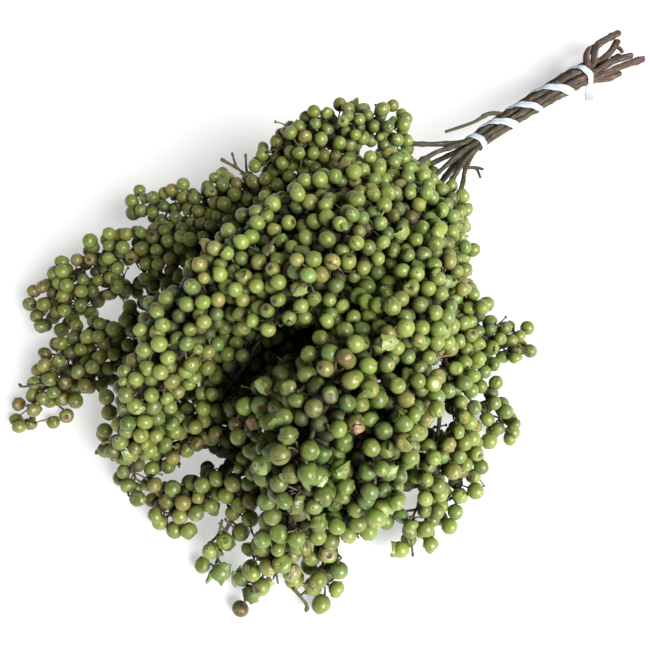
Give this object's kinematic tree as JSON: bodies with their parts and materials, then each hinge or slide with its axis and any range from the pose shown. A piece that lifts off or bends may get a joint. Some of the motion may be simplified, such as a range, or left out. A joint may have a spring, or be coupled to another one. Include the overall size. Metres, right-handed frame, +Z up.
{
  "type": "dried pepperberry bunch",
  "caption": "Lying bunch of dried green pepperberries: dense sprays of small round berries fan out from thin brown stems wound with a flat white tie.",
  "frame": {"origin": "on the table, under the middle of the bounding box", "axes": "+X along the bare stems towards their cut ends, +Y across the fan of sprays, +Z up from the table"},
  "size_m": [0.3774, 0.2008, 0.1009],
  "materials": {
    "berries": "satin dry skin, pale yellow-green to olive with brown tips and blotches",
    "stems": "matt dry bark, olive brown turning reddish at the cut ends",
    "tie": "matt soft white strip"
  },
  "bodies": {
    "root": {"spray_centre_left": "berries", "spray_centre": "berries", "spray_right_top": "berries", "spray_front": "berries", "spray_front_right": "berries", "spray_top_arch": "berries", "spray_left_arch": "berries", "spray_upper_left": "berries", "spray_left_low": "berries", "spray_front_left": "berries", "spray_right_low": "berries", "spray_right_edge": "berries", "spray_right_fan": "berries", "spray_right_mid": "berries", "spray_front_gap": "berries", "spray_mid_low": "berries", "spray_left_mid": "berries", "spray_left_under": "berries", "spray_tail_left": "berries", "spray_base_mid": "berries", "spray_base_left": "berries", "spray_base_right": "berries", "spray_mid_back": "berries", "spray_mid_core": "berries", "spray_mid_left": "berries", "stem_top": "stems", "stem_centre_left": "stems", "stem_centre": "stems", "stem_right_top": "stems", "stem_right_edge": "stems", "stem_base": "stems", "stem_back": "stems", "stem_core": "stems", "tie_strip": "tie"}
  },
  "joints": []
}
